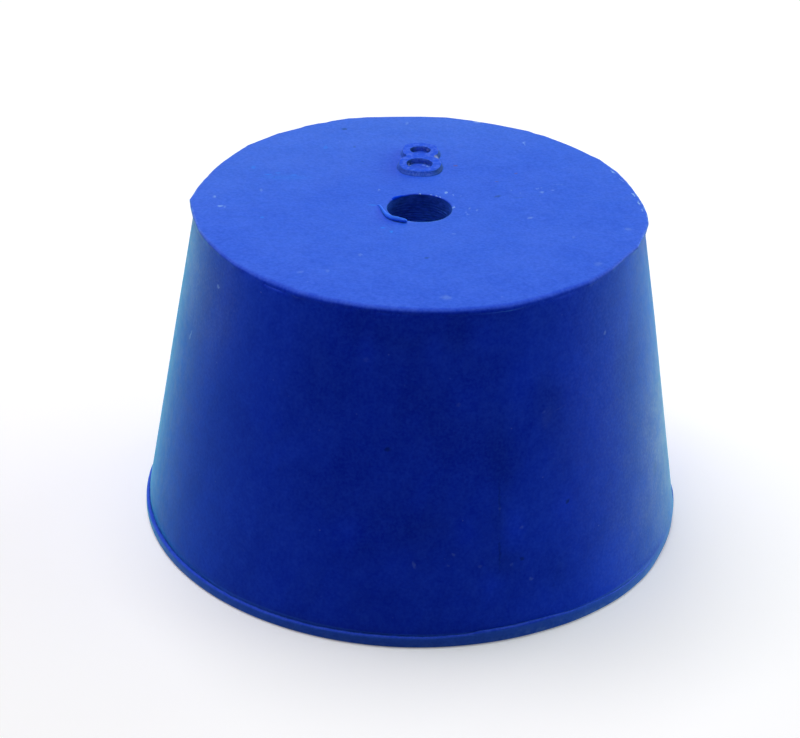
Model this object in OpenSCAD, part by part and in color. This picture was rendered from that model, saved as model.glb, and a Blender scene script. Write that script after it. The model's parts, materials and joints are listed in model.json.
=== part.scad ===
// One-hole rubber stopper, size 8: a solid taper plug, moulded in one piece.
// It stands on its large end. The origin is the middle of that end, and +Z runs
// up the axis of the taper to the small end, which goes into the neck of a bottle.

/* [Taper] */
// Height from the large end to the rim of the small end
stopper_h = 25; // [16:0.5:60]
// Diameter of the taper, carried down to the large end
large_end_d = 41; // [30:0.5:90]
// Diameter of the taper, carried up to the small end
small_end_d = 32.8; // [18:0.2:80]

/* [Bore] */
// Diameter of the hole for a glass tube, drilled right through
bore_d = 4.8; // [2:0.1:12]

/* [Land at the large end] */
// Height of the upright land, left where the large end was punched out of its sheet
land_h = 1; // [0.6:0.05:3]
// How far the land stands out past the taper's largest size
land_proud = 0.1; // [0.02:0.01:0.6]
// Radius of the land's two outer edges
land_edge_r = 0.12; // [0.02:0.01:0.25]
// Radius of the relief cut in the corner between the ledge and the taper
relief_r = 0.2; // [0.1:0.01:0.5]
// How deep the relief bites into the taper
relief_depth = 0.06; // [0.03:0.01:0.15]

/* [Rim at the small end] */
// Thickness of the rim where it reaches out furthest, left where the flash was trimmed off
rim_t = 0.22; // [0.1:0.01:0.8]
// How far outside the taper the knife ran as it trimmed the rim
cut_proud = 0.04; // [0.02:0.01:0.4]
// Height over which the underside of the rim runs back into the taper
rim_run = 0.25; // [0.1:0.05:1.5]
// Width of the level band round the small end, inside the taper's edge
face_band = 2.3; // [0.5:0.1:6]
// How far the face has sunk at the bore, as the rubber cooled in its mould
face_sink = 0.2; // [0.05:0.05:1]

/* [Hidden] */
$fn = 180;
// Length that a cutting body runs past what it cuts
past = 1;
large_r = large_end_d / 2;
small_r = small_end_d / 2;
bore_r = bore_d / 2;
// How far the taper draws in for each millimetre of height
draw_in = (large_r - small_r) / stopper_h;
land_r = large_r + land_proud;
// Radius of the level band's inner edge, where the face starts to sink
sink_r = small_r - face_band;
// The way each straight stroke of the knife faced, as its azimuth
strokes = [5, 18, 31, 44, 57, 71, 85, 99, 120, 136, 152, 167, 193, 207, 221, 235, 249, 263, 277,
    290, 304, 317, 330, 343];
cut_r = small_r + cut_proud;
rim_corners = [for (i = [0 : len(strokes) - 1]) cut_corner(i)];
// Reach of the corner that stands out furthest
rim_r = max([for (corner = rim_corners) norm(corner)]);

// Radius of the taper at height z
function taper_r(z) = large_r - draw_in * z;

// Azimuth of stroke i, counted on past a full turn
function stroke(i) = strokes[i % len(strokes)] + 360 * floor(i / len(strokes));

// The corner left on the rim between stroke i and the next
function cut_corner(i) =
    let (turn = (stroke(i) + stroke(i + 1)) / 2)
    let (reach = cut_r / cos((stroke(i + 1) - stroke(i)) / 2))
    [reach * cos(turn), reach * sin(turn)];

// The taper, as half a section: radius along x, height along y. It starts inside the land.
module taper_section() {
    foot_z = land_h / 2;
    polygon([[0, foot_z], [taper_r(foot_z), foot_z], [small_r, stopper_h], [0, stopper_h]]);
}

// The upright land: a band with both outer edges rounded, whose top is a narrow ledge
module land_section() {
    level_r = land_r - land_edge_r;
    square([level_r, land_h]);
    translate([0, land_edge_r]) square([land_r, land_h - 2 * land_edge_r]);
    for (z = [land_edge_r, land_h - land_edge_r]) {
        translate([level_r, z]) circle(r = land_edge_r);
    }
}

// The relief in the corner on top of the ledge: a groove that undercuts the taper
module relief_section() {
    middle_r = taper_r(land_h) - relief_depth + relief_r;
    intersection() {
        translate([middle_r, land_h + relief_r / 2]) circle(r = relief_r);
        translate([0, land_h]) square([middle_r + relief_r, 2 * relief_r]);
    }
}

// The flash before it is trimmed: its underside runs down into the taper, and on inside it
module flash_section() {
    under_z = stopper_h - rim_t;
    meet_z = under_z - rim_run;
    lean = (rim_r - taper_r(meet_z)) / rim_run;
    polygon([
        [0, meet_z - rim_run],
        [taper_r(meet_z) - lean * rim_run, meet_z - rim_run],
        [rim_r, under_z],
        [rim_r + past, under_z],
        [rim_r + past, stopper_h],
        [0, stopper_h]
    ]);
}

// The rim that is left: one upright face for each stroke, with a corner between each two
module trimmed_rim() {
    intersection() {
        rotate_extrude() flash_section();
        linear_extrude(stopper_h) polygon(rim_corners);
    }
}

// The shallow dish that the small end has sunk to, deepest at the bore
module sink_section() {
    polygon([
        [0, stopper_h + past],
        [sink_r, stopper_h + past],
        [sink_r, stopper_h],
        [bore_r, stopper_h - face_sink],
        [0, stopper_h - face_sink]
    ]);
}

module stopper() {
    color("royalblue")
    difference() {
        union() {
            rotate_extrude() difference() {
                union() {
                    taper_section();
                    land_section();
                }
                relief_section();
            }
            trimmed_rim();
        }
        rotate_extrude() sink_section();
        translate([0, 0, -past]) cylinder(r = bore_r, h = stopper_h + 2 * past);
    }
}

stopper();
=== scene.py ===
import bmesh
import bpy
import json
from math import atan2, cos, degrees, hypot, radians, sin, tau
from mathutils import Matrix, Vector, noise


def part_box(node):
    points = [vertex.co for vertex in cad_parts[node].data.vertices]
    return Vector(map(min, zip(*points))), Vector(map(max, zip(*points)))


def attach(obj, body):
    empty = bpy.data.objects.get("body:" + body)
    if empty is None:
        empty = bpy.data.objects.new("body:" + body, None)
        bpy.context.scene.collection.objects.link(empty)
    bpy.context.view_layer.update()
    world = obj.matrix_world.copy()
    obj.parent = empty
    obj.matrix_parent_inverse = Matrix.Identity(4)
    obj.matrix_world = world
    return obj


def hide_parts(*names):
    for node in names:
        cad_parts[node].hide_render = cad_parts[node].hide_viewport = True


# A one-hole rubber stopper, size 8. The moulding is built in millimetres and brought to metres at the end.

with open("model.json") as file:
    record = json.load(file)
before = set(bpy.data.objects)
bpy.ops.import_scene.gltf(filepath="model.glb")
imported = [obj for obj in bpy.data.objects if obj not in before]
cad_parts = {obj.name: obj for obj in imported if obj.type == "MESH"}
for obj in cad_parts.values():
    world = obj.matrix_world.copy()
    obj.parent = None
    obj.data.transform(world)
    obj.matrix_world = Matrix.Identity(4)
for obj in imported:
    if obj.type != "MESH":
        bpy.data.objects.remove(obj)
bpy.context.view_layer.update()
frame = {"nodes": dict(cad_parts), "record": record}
print("frame loaded")

millimetre = 0.001
stopperNode = frame["nodes"]["stopper"]
boreMount = next(m for m in frame["record"]["mounts"] if m["name"] == "bore")
lowCorner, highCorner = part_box("stopper")
height = (highCorner.z - lowCorner.z) / millimetre
landRadius = (highCorner.x - lowCorner.x) / 2 / millimetre
boreRadius = boreMount["dims"]["r_mm"]
mouthHeight = boreMount["dims"]["length_mm"]


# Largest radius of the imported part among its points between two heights, in millimetres
def packedRadius(fromHeight, toHeight):
    points = [v.co / millimetre for v in stopperNode.data.vertices]
    return max(hypot(p.x, p.y) for p in points if fromHeight <= p.z <= toHeight)


def ease(t):
    t = min(max(t, 0.0), 1.0)
    return t * t * (3 - 2 * t)


# Where an azimuth falls in a closed list of (azimuth, value) stations: the azimuth, counted on from the
# first of them, then the station before it and the one after
def stretchAt(azimuth, stations):
    closed = stations + [(stations[0][0] + 360, stations[0][1])]
    turned = (azimuth - stations[0][0]) % 360 + stations[0][0]
    for before, after in zip(closed, closed[1:]):
        if before[0] <= turned <= after[0]:
            return turned, before, after


# A value that changes with azimuth, eased from each station to the next
def around(azimuth, stations):
    turned, (a0, v0), (a1, v1) = stretchAt(azimuth, stations)
    return v0 + (v1 - v0) * ease((turned - a0) / (a1 - a0))


# Smooth noise of about +-1 at a point given in millimetres, for features of the given size
def wobble(x, y, z, size, seed=0.0):
    return noise.noise(Vector((x / size + seed, y / size - seed, z / size + 3 * seed)))


# How an edge wavers along its azimuth: each wave is given as its length in degrees, its depth and a seed
def waver(azimuth, waves):
    return sum(depth * wobble(azimuth, 0, 0, length, seed) for length, depth, seed in waves)


# The moulding. Azimuths run from +X, anticlockwise seen from above; 270 faces the camera
moulding = {
    "columns": 720,            # facets round the outside; two to a degree, so that knife corners fall on one
    "innerColumns": 240,       # facets round the middle of the small end
    "boreColumns": 120,        # facets round the bore
    "landProud": 0.10,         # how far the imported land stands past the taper
    "landShy": 0.03,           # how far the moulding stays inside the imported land
    "landEdge": 0.12,          # round of the land's lower edge
    "landTurns": (0, 25, 50, 75, 90),      # degrees round it
    # round of the ledge's outer edge: how far in, and how far down
    "ledgeEdge": [(-40, 0.1), (5, 0.1), (50, 0.18), (240, 0.18), (295, 0.16)],
    "ledgeRoll": [(-40, 0.42), (5, 0.42), (50, 0.18), (240, 0.18), (295, 0.2)],
    "ledgeTurns": (0, 22, 45, 68, 90),
    "ledgeHeights": [(-40, 0.85), (0, 0.8), (90, 0.9), (180, 0.8), (240, 0.78), (270, 0.87), (281, 0.92),
                     (286, 1.08), (299, 1.12), (307, 0.95)],
    "ledgeWaves": [(9, 0.02, 0), (2.5, 0.03, 3)],  # how they waver: length in degrees, depth, seed
    "ledgeEdgeWaves": [(3, 0.006, 2)],
    "landOut": [(-52, 0.0), (-40, 0.06), (-32, 0.04), (-20, -0.12), (-9, -0.1), (2, 0.07), (60, 0.0),
                (180, 0.02), (265, -0.03), (285, -0.08), (297, -0.08)],
    # relief cut in the taper just above the ledge
    "grooveDepth": [(-58, 0.03), (-45, -0.04), (-28, -0.07), (-8, -0.03), (5, 0.0), (90, 0.06), (180, 0.1),
                    (270, 0.11), (295, 0.09)],
    "grooveShare": 0.8,        # share of that depth it has on the whole, and how it wavers
    "grooveWaves": [(14, 0.4, 4)],
    "grooveRings": (0.0, 0.04, 0.1, 0.17, 0.25, 0.35, 0.5, 0.8),   # heights above the ledge
    "grooveRun": 0.6,          # height over which the relief fades out
    "wallRings": 24,
    "wallFrom": 2.6,           # height of the lowest of them
    "swell": [(-70, 0.0), (-32, 0.085), (12, 0.085), (70, 0.0), (180, 0.0)],   # how far one side stands out
    "swellFade": 11.0,         # height over which that fades out below the rim
    # round of the rim's upper edge, most worn where the stopper is pushed in by
    "rimEdge": [(-60, 0.38), (-40, 0.28), (-20, 0.11), (0, 0.07), (160, 0.07), (195, 0.1), (215, 0.22),
                (235, 0.38)],
    "rimTurns": (0, 18, 36, 54, 72, 90),
    "rimNicks": [(1.4, 0.012, 7)],
    "wornWidth": 0.09,         # how far in from that edge its wear and painted highlight fade out
    "rimDepth": 0.47,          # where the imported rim's underside meets the taper
    "rimThick": 0.22,          # upright edge left by the trimming knife
    "rimRun": 0.35,            # height over which the rim's underside meets the taper
    "underShares": (0.35, 0.7, 1.0),       # rings on that underside, as shares of the way up it
    # rings on the small end, from the rim in to the bore, and on the large end, from the bore out
    "bandRadii": (15.85, 15.5, 15.0, 14.1, 13.2, 12.3, 11.4, 10.5, 9.6, 8.7, 7.8, 7.0),
    "middleRadii": (6.2, 5.5, 4.8, 4.2, 3.7, 3.3),
    "mouthRadii": (3.0, 2.75, 2.6),
    "largeEndRings": [(2.9, "boreColumns"), (4.5, "innerColumns"), (9.0, "columns"), (15.0, "columns")],
    "sinkRadius": 14.1,        # where the small end starts to sink towards the bore
    "sinkCurve": 1.25,         # 1 would sink it as a plain cone
    "mouthRound": 0.08,        # round of the bore's edge
    "unevenness": 0.014,       # slow waviness of the taper and the small end
    "taperWaves": [(6.5, 1.0, 0), (1.8, 0.3, 5)],   # size, share of the unevenness, seed
    "faceWave": (5.0, 0.7, 1),             # the same for the small end
    # corners of the straight knife cuts round the rim: azimuth, and how far past the taper
    "rimCorners": [
        (-27, 0.0), (-20, 0.23), (-11, 0.28), (-6, 0.36), (-1, 0.28), (4, 0.16), (9, 0.05), (18, 0.02),
        (25, 0.09), (34, 0.13), (37, 0.0), (50, 0.01), (54, 0.09), (57, 0.02), (59, 0.13), (64, 0.03),
        (76, 0.06), (83, 0.17), (90, 0.06), (97, 0.02), (105, 0.2), (108, 0.22), (110, 0.32),
        (115, 0.25), (117, 0.14), (119, 0.22), (123, 0.23), (125, 0.12), (132, 0.22), (136, 0.14),
        (143, 0.21), (150, 0.04), (157, 0.0), (168, 0.07), (173, 0.2), (177, 0.3), (180, 0.45),
        (184, 0.32), (190, 0.2), (198, 0.17), (205, 0.08), (212, 0.05), (219, 0.07), (228, 0.05),
        (240, 0.13), (248, 0.08), (257, 0.08), (264, 0.04), (270, 0.06), (278, 0.1), (285, 0.12),
        (292, 0.19), (298, 0.08), (304, 0.03), (312, 0.03), (316, 0.1), (321, 0.05), (326, 0.05)],
    # how worn the rim's edge and the land's lower edge are, by azimuth; their pale colour is partly wear,
    # partly a painted highlight
    "rimWearAndHighlight": [(-30, 0.0), (-12, 0.15), (0, 0.8), (40, 0.8), (75, 0.3), (110, 0.25), (150, 0.4), (178, 0.5),
                (195, 0.2), (212, 0.03)],
    "landWearAndHighlight": [(-75, 0.1), (-62, 0.3), (-45, 0.35), (-15, 0.4), (10, 0.5), (60, 0.2), (180, 0.2),
                 (240, 0.1)],
    # broad patches of thicker (+) and thinner (-) bloom on the wall, and of painted light low on the right:
    # azimuth from the front, height, half width, half height, amount
    "bloomAndLightPatches": [
        (19.5, 14.6, 1.3, 3.4, -0.7), (19.8, 12.2, 0.8, 1.3, -0.4), (18.7, 9.4, 0.5, 1.6, -0.6),
        (32.1, 17.2, 1.2, 1.8, -0.7), (20.6, 6.1, 1.3, 0.9, -0.9), (61.0, 13.5, 2.5, 4.5, -0.8),
        (32.9, 3.8, 1.3, 1.6, -0.8), (-18.4, 18.7, 1.7, 2.6, -0.5), (8.8, 23.3, 1.3, 1.3, -0.6),
        (-3.9, 22.6, 2.2, 0.9, -0.4), (0.8, 9.3, 2.0, 1.2, -0.4), (-8.7, 7.0, 0.8, 0.9, -0.5),
        (11.3, 18.5, 1.2, 1.3, 0.7), (41.8, 14.4, 1.7, 4.8, 0.6), (34.9, 9.0, 1.0, 1.2, 0.9),
        (22.5, 8.5, 0.9, 1.4, 0.9), (11.4, 8.7, 0.9, 1.1, 0.7), (-3.1, 6.1, 2.0, 1.6, 0.5),
        (3.5, 22.3, 0.9, 0.9, 0.5), (-12.9, 8.4, 1.1, 1.1, 0.7), (17.2, 22.8, 1.4, 1.1, 0.5),
        # those between 26 and 44 degrees to the right, at heights of 1.6 to 6, are painted light, not bloom
        (24.6, 20.5, 1.3, 4.0, 0.4), (44.0, 2.0, 5.0, 2.6, 0.8), (38.0, 6.0, 5.0, 4.0, 0.35),
        (26.0, 1.6, 5.0, 2.0, 0.4), (1.6, 12.5, 1.3, 2.2, 0.3), (-11.5, 22.0, 0.6, 1.3, 0.8),
        (17.0, 4.3, 1.1, 1.0, 0.8), (39.0, 19.5, 1.5, 3.5, 0.3)],
    # the same for the dust that lies in the grain of the wall; at the far left and right edges, and low on
    # the right, they are painted sheen and painted light
    "dustAndSheenPatches": [
        (-76.0, 22.0, 3.0, 3.5, 0.09), (-62.0, 21.0, 4.0, 4.5, 0.045), (68.0, 11.0, 8.0, 14.0, 0.055),
        (64.0, 3.5, 5.0, 4.0, 0.03), (86.0, 7.5, 6.0, 8.0, 0.27), (112.0, 10.0, 6.0, 10.0, 0.1)],
    "patchReach": 1.6,         # how many half sizes from its middle a patch has faded out
}
largeRadius = landRadius - moulding["landProud"]
meetHeight = height - moulding["rimDepth"]
nearMeet = 0.02                # how near that height a packed point counts as on it
drawIn = (largeRadius - packedRadius(meetHeight - nearMeet, meetHeight + nearMeet)) / meetHeight
smallRadius = largeRadius - drawIn * height


def taperRadius(z):
    return largeRadius - drawIn * z


# How far out the rim reaches: straight cuts between knife corners, never inside the taper
def rimReach(azimuth):
    turned, (a0, out0), (a1, out1) = stretchAt(azimuth, moulding["rimCorners"])
    r0 = smallRadius + out0
    r1 = smallRadius + out1
    span = r0 * sin(radians(turned - a0)) + r1 * sin(radians(a1 - turned))
    return max(smallRadius, r0 * r1 * sin(radians(a1 - a0)) / span)


def faceHeight(radius):
    sink = height - mouthHeight
    share = (moulding["sinkRadius"] - radius) / (moulding["sinkRadius"] - boreRadius)
    return height - sink * min(max(share, 0.0), 1.0) ** moulding["sinkCurve"]


# One ring of points; shape(azimuth in degrees) gives its radius and height there
def addRing(points, columns, shape):
    ring = []
    for k in range(columns):
        azimuth = 360 * k / columns
        radius, z = shape(azimuth)
        ring.append(len(points))
        points.append((radius * cos(radians(azimuth)), radius * sin(radians(azimuth)), z))
    return ring


# Faces between two rings that start at the same azimuth; the second may have a whole share of the points
def joinRings(faces, many, few):
    step = len(many) // len(few)
    middle = (step + 1) // 2
    for k in range(len(few)):
        here = few[k]
        there = few[(k + 1) % len(few)]
        start = many[k * step]
        if step == 1:
            faces.append((start, many[(k + 1) % len(many)], there, here))
            continue
        for j in range(step):
            pair = (many[k * step + j], many[(k * step + j + 1) % len(many)])
            faces.append((*pair, here if j < middle else there))
        faces.append((here, many[k * step + middle], there))


# The outside, from the large end's flat up the taper to the rim: one shape for each ring
def outsideShapes():
    m = moulding
    shapes = []

    def landAt(azimuth):
        return landRadius + around(azimuth, m["landOut"]) - m["landShy"]

    def ledgeAt(azimuth):
        return around(azimuth, m["ledgeHeights"]) + waver(azimuth, m["ledgeWaves"])

    def taperAt(azimuth, z):
        a = radians(azimuth)
        r = taperRadius(z)
        x = r * cos(a)
        y = r * sin(a)
        for size, share, seed in m["taperWaves"]:
            r += share * m["unevenness"] * wobble(x, y, z, size, seed)
        return r + around(azimuth, m["swell"]) * ease((height - z) / m["swellFade"])

    for turn in m["landTurns"]:
        def lowerEdge(azimuth, t=radians(turn)):
            edge = m["landEdge"]
            return landAt(azimuth) - edge + edge * sin(t), edge - edge * cos(t)
        shapes.append(lowerEdge)
    for turn in m["ledgeTurns"]:
        def upperEdge(azimuth, t=radians(turn)):
            inwards = around(azimuth, m["ledgeEdge"]) * (1 - cos(t))
            down = around(azimuth, m["ledgeRoll"]) * (1 - sin(t))
            reach = landAt(azimuth) - inwards + waver(azimuth, m["ledgeEdgeWaves"])
            return reach, ledgeAt(azimuth) - down
        shapes.append(upperEdge)
    for above in m["grooveRings"]:
        def groove(azimuth, above=above):
            z = ledgeAt(azimuth) + above
            bite = around(azimuth, m["grooveDepth"]) * (1 - ease(above / m["grooveRun"]))
            bite *= m["grooveShare"] + waver(azimuth, m["grooveWaves"])
            return taperAt(azimuth, z) - bite, z
        shapes.append(groove)
    first = m["wallFrom"]
    last = height - m["rimThick"] - m["rimRun"]
    for k in range(m["wallRings"]):
        def wall(azimuth, z=first + (last - first) * k / (m["wallRings"] - 1)):
            return taperAt(azimuth, z), z
        shapes.append(wall)
    for share in m["underShares"]:
        def under(azimuth, share=share):
            underside = height - max(m["rimThick"], around(azimuth, m["rimEdge"]))
            z = last + (underside - last) * share
            r = taperAt(azimuth, z)
            return r + (rimReach(azimuth) - r) * share ** 2, z
        shapes.append(under)
    for turn in m["rimTurns"]:
        def rim(azimuth, t=radians(turn)):
            edge = around(azimuth, m["rimEdge"])
            reach = rimReach(azimuth) + waver(azimuth, m["rimNicks"])
            return reach - edge * (1 - cos(t)), height - edge * (1 - sin(t))
        shapes.append(rim)
    return shapes


# The small end, from its rim in to the rounded mouth of the bore
def faceRings(points):
    m = moulding
    rings = []

    def flat(radius):
        def shape(azimuth):
            a = radians(azimuth)
            size, share, seed = m["faceWave"]
            uneven = share * m["unevenness"] * wobble(radius * cos(a), radius * sin(a), height, size, seed)
            return radius, faceHeight(radius) + min(uneven, 0)
        return shape

    def pastEdge(azimuth):
        return rimReach(azimuth) - around(azimuth, m["rimEdge"]) - m["wornWidth"], height

    rings.append(addRing(points, m["columns"], pastEdge))
    bands = ((m["bandRadii"], m["columns"]), (m["middleRadii"], m["innerColumns"]),
             (m["mouthRadii"], m["boreColumns"]))
    for radii, columns in bands:
        for radius in radii:
            rings.append(addRing(points, columns, flat(radius)))
    return rings


boreShape = {
    "mouthRings": 4,           # rings round each mouth's rounded edge
    "ridgePitch": 0.2,         # rings that the drill left in the rubber
    "ridgeDepth": 0.017,
    "ridgeShare": 0.5,         # share of that depth they have on the whole
    "ridgeChange": 1.6,        # how much that share changes along them, and over what size
    "ridgeChangeSize": 1.8,
    "ridgeWander": 4.0,        # how far they stray from level, in radians of their pitch
    "ridgeWanderSize": 2.5,
    "boreGrain": 0.02,
    "boreGrainSize": 0.7,
    "samplesPerRidge": 6,
    "ridgeReach": 4.0,         # how far in from each mouth the rings are made
    "ridgeStart": 0.3,         # how far in from the mouth they take to show, and to fade out again
    "ridgeStop": 1.0,
    "plainStep": 0.8,          # spacing of points past that
    "flatFront": 0.07,         # the mouth's near edge is a little flattened
    "flatAzimuth": 265,
    "flatTurn": 42,            # degrees round, and height down, over which the flattening fades out
    "flatDepth": 3.0,
}


# The bore, from its rounded mouth down through the drill's rings to the large end
def boreRings(points):
    b = boreShape
    columns = moulding["boreColumns"]
    rounding = moulding["mouthRound"]
    rings = []

    def wallAt(azimuth, z):
        a = radians(azimuth)
        away = abs((azimuth - b["flatAzimuth"] + 180) % 360 - 180)
        flattened = b["flatFront"] * (1 - ease(away / b["flatTurn"]))
        flattened *= ease((z - mouthHeight + b["flatDepth"]) / b["flatDepth"])
        x = boreRadius * cos(a)
        y = boreRadius * sin(a)
        # all three change quicker down the bore than round it
        wander = b["ridgeWander"] * wobble(x, y, 2 * z, b["ridgeWanderSize"], seed=2)
        strength = b["ridgeShare"] + b["ridgeChange"] * wobble(x, y, 3 * z, b["ridgeChangeSize"], seed=9)
        grain = b["boreGrain"] * wobble(x, y, 3 * z, b["boreGrainSize"], seed=4)
        ridge = b["ridgeDepth"] * strength * sin(tau * z / b["ridgePitch"] + wander)
        within = min(mouthHeight - z, z)
        fade = ease((within - rounding) / b["ridgeStart"]) * ease((b["ridgeReach"] - within) / b["ridgeStop"])
        return boreRadius - flattened + (ridge + grain) * fade

    def roundAt(turn, level, sign):
        def shape(azimuth):
            out = rounding * (1 - sin(turn))
            return wallAt(azimuth, level) + out, level - sign * rounding * (1 - cos(turn))
        return shape

    turns = [radians(90 * k / (b["mouthRings"] - 1)) for k in range(b["mouthRings"])]
    for turn in turns:
        rings.append(addRing(points, columns, roundAt(turn, mouthHeight, 1)))
    step = b["ridgePitch"] / b["samplesPerRidge"]
    depth = rounding + step
    while depth < mouthHeight - rounding - step / 2:
        level = mouthHeight - depth
        rings.append(addRing(points, columns, lambda azimuth, z=level: (wallAt(azimuth, z), z)))
        nearMouth = min(depth, mouthHeight - depth) < b["ridgeReach"]
        depth += step if nearMouth else b["plainStep"]
    for turn in reversed(turns):
        rings.append(addRing(points, columns, roundAt(turn, 0, -1)))
    return rings


def makeMesh(name, points, faces):
    mesh = bpy.data.meshes.new(name)
    mesh.from_pydata(points, [], faces)
    solid = bmesh.new()
    solid.from_mesh(mesh)
    bmesh.ops.recalc_face_normals(solid, faces=solid.faces)
    solid.to_mesh(mesh)
    solid.free()
    piece = bpy.data.objects.new(name, mesh)
    bpy.context.scene.collection.objects.link(piece)
    return piece


# Adds other solids to a piece, or cuts them out of it, so that the piece stays one closed skin
def combine(piece, operation, others):
    for other in others:
        step = piece.modifiers.new("combine", "BOOLEAN")
        step.operation = operation
        step.solver = "MANIFOLD"
        step.object = other
    evaluated = piece.evaluated_get(bpy.context.evaluated_depsgraph_get())
    combined = bpy.data.meshes.new_from_object(evaluated)
    piece.modifiers.clear()
    piece.data = combined
    for other in others:
        bpy.data.objects.remove(other)


# What a list of patches adds up to at a point of the wall
def patchesAt(x, y, z, patches):
    total = 0.0
    for fromFront, middleZ, halfWidth, halfHeight, amount in patches:
        a = radians(fromFront)
        across = x * cos(a) + y * sin(a)
        facing = x * sin(a) - y * cos(a)
        if facing > 0:
            away = hypot(across / halfWidth, (z - middleZ) / halfHeight)
            total += amount * (1 - ease(away / moulding["patchReach"]))
    return total


# Gives the points of the outside the amounts of wear and painted highlight, bloom and painted light, and dust
# and painted sheen that the finish reads
def carryAmounts(piece, points, outside):
    m = moulding
    wearAndHighlight = piece.data.attributes.new("wearAndHighlight", "FLOAT", "POINT")
    rimEdge = outside[-len(m["rimTurns"]):]
    landEdge = outside[1:len(m["landTurns"])]
    for edges, wear in ((rimEdge, m["rimWearAndHighlight"]), (landEdge, m["landWearAndHighlight"])):
        for index in (i for ring in edges for i in ring):
            x, y = points[index][:2]
            wearAndHighlight.data[index].value = around(degrees(atan2(y, x)), wear)
    for name, patches in (("bloomAndLight", m["bloomAndLightPatches"]), ("dustAndSheen", m["dustAndSheenPatches"])):
        amount = piece.data.attributes.new(name, "FLOAT", "POINT")
        for index in (i for ring in outside for i in ring):
            amount.data[index].value = patchesAt(*points[index], patches)


finishOrder = ("skin", "torn", "bore", "number", "thin")   # the materials, as a piece lists them


def makeMoulding():
    m = moulding
    points = []
    faces = []
    outside = [addRing(points, m["columns"], shape) for shape in outsideShapes()]
    rings = outside + faceRings(points)
    for many, few in zip(rings, rings[1:]):
        joinRings(faces, many, few)
    bore = boreRings(points)
    mouth = boreShape["mouthRings"] - 1
    for upper, lower in zip([rings[-1]] + bore[:mouth], bore[:mouth + 1]):
        joinRings(faces, upper, lower)
    outerFaces = len(faces)
    for upper, lower in zip(bore[mouth:], bore[mouth + 1:]):
        joinRings(faces, upper, lower)
    boreFaces = range(outerFaces, len(faces))
    rings += bore
    # the large end's flat closes the loop from the bore back to the land
    previous = rings[-1]
    for radius, columns in m["largeEndRings"]:
        ring = addRing(points, m[columns], lambda azimuth, radius=radius: (radius, 0.0))
        joinRings(faces, ring, previous)
        previous = ring
    joinRings(faces, outside[0], previous)
    piece = makeMesh("stopper_moulding", points, faces)
    carryAmounts(piece, points, outside)
    for polygon in piece.data.polygons:
        polygon.material_index = finishOrder.index("bore" if polygon.index in boreFaces else "skin")
    return piece


# The raised size number
sizeNumber = {
    "middle": (0.0, 7.88),     # where the figure stands on the small end
    "standsUp": 0.36,          # height above the small end
    "buried": 0.3,             # how far its foot runs down into the rubber
    # outline of the figure, anticlockwise from its foot, from the middle
    "outline": [(0.03, -2.4), (1.17, -2.06), (1.6, -1.05), (1.45, -0.1), (1.07, 0.36), (1.33, 0.85),
                (1.4, 1.62), (1.07, 2.42), (0.0, 2.75), (-1.07, 2.42), (-1.38, 1.6), (-1.3, 0.85),
                (-1.07, 0.36), (-1.47, -0.1), (-1.64, -1.05), (-1.2, -2.04)],
    "eyes": [((-0.05, -1.0), (0.96, 0.88)), ((0.0, 1.42), (0.77, 0.62))],   # centre and half sizes
    # draft of the walls: how far outside the outline, and the share of the height
    "walls": [(0.13, 0.0), (0.12, 0.12), (0.07, 0.3), (0.03, 0.48), (0.0, 0.8), (-0.02, 0.93), (-0.06, 1.0),
              (-0.1, 1.0)],
    "eyeWalls": [(0.03, 0.0), (0.0, 0.5), (-0.01, 0.88), (-0.035, 1.0)],
    "pointsPerSpan": 6,
    "eyePoints": 40,
    "roughness": 0.03,
    "roughSize": 0.4,
}


# Some points of the smooth curve through four points, from the second of them towards the third
def smoothSpan(p0, p1, p2, p3, count):
    return [0.5 * (2 * p1 + (p2 - p0) * t + (2 * p0 - 5 * p1 + 4 * p2 - p3) * t ** 2
                   + (3 * p1 - p0 - 3 * p2 + p3) * t ** 3) for t in (j / count for j in range(count))]


# A smooth closed curve through a short list of points
def closedCurve(stations, perSpan):
    count = len(stations)
    curve = []
    for i in range(count):
        curve += smoothSpan(*(Vector(stations[(i + k - 1) % count]) for k in range(4)), perSpan)
    return curve


def ellipse(middle, halfSizes, count):
    return [Vector((middle[0] + halfSizes[0] * cos(tau * k / count),
                    middle[1] + halfSizes[1] * sin(tau * k / count))) for k in range(count)]


# The curve moved outwards by a distance; inwards where it is negative
def offsetCurve(curve, distance):
    moved = []
    for k, here in enumerate(curve):
        along = (curve[(k + 1) % len(curve)] - curve[k - 1]).normalized()
        moved.append(here + distance * Vector((along.y, -along.x)))
    return moved


# A solid that stands on the small end: the curve, set out by each station's distance at its height
def makeLoft(name, curve, stations):
    points = []
    faces = []
    rings = []
    for out, level in stations:
        ring = []
        for p in offsetCurve(curve, out):
            x = sizeNumber["middle"][0] + p.x
            y = sizeNumber["middle"][1] + p.y
            rough = sizeNumber["roughness"] * wobble(x, y, level, sizeNumber["roughSize"], seed=3)
            ring.append(len(points))
            points.append((x + rough, y + 0.5 * rough, faceHeight(hypot(x, y)) + level))
        rings.append(ring)
    for first, second in zip(rings, rings[1:]):
        joinRings(faces, first, second)
    faces += [tuple(rings[0]), tuple(rings[-1])]
    return makeMesh(name, points, faces)


def makeSizeNumber():
    n = sizeNumber
    past = 0.2             # how far a cutting solid runs past what it cuts
    up = n["standsUp"]
    walls = [(out, up * share) for out, share in n["walls"]]
    foot = (walls[0][0], -n["buried"])
    figure = makeLoft("size_number", closedCurve(n["outline"], n["pointsPerSpan"]), [foot] + walls)
    eyeWalls = [(-out, up * share) for out, share in n["eyeWalls"]]
    below = (eyeWalls[0][0], -n["buried"] - past)
    above = (eyeWalls[-1][0], up + past)
    eyes = [makeLoft("eye", ellipse(middle, halfSizes, n["eyePoints"]), [below] + eyeWalls + [above])
            for middle, halfSizes in n["eyes"]]
    combine(figure, "DIFFERENCE", eyes)
    figure.data.materials.clear()
    return figure


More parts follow.
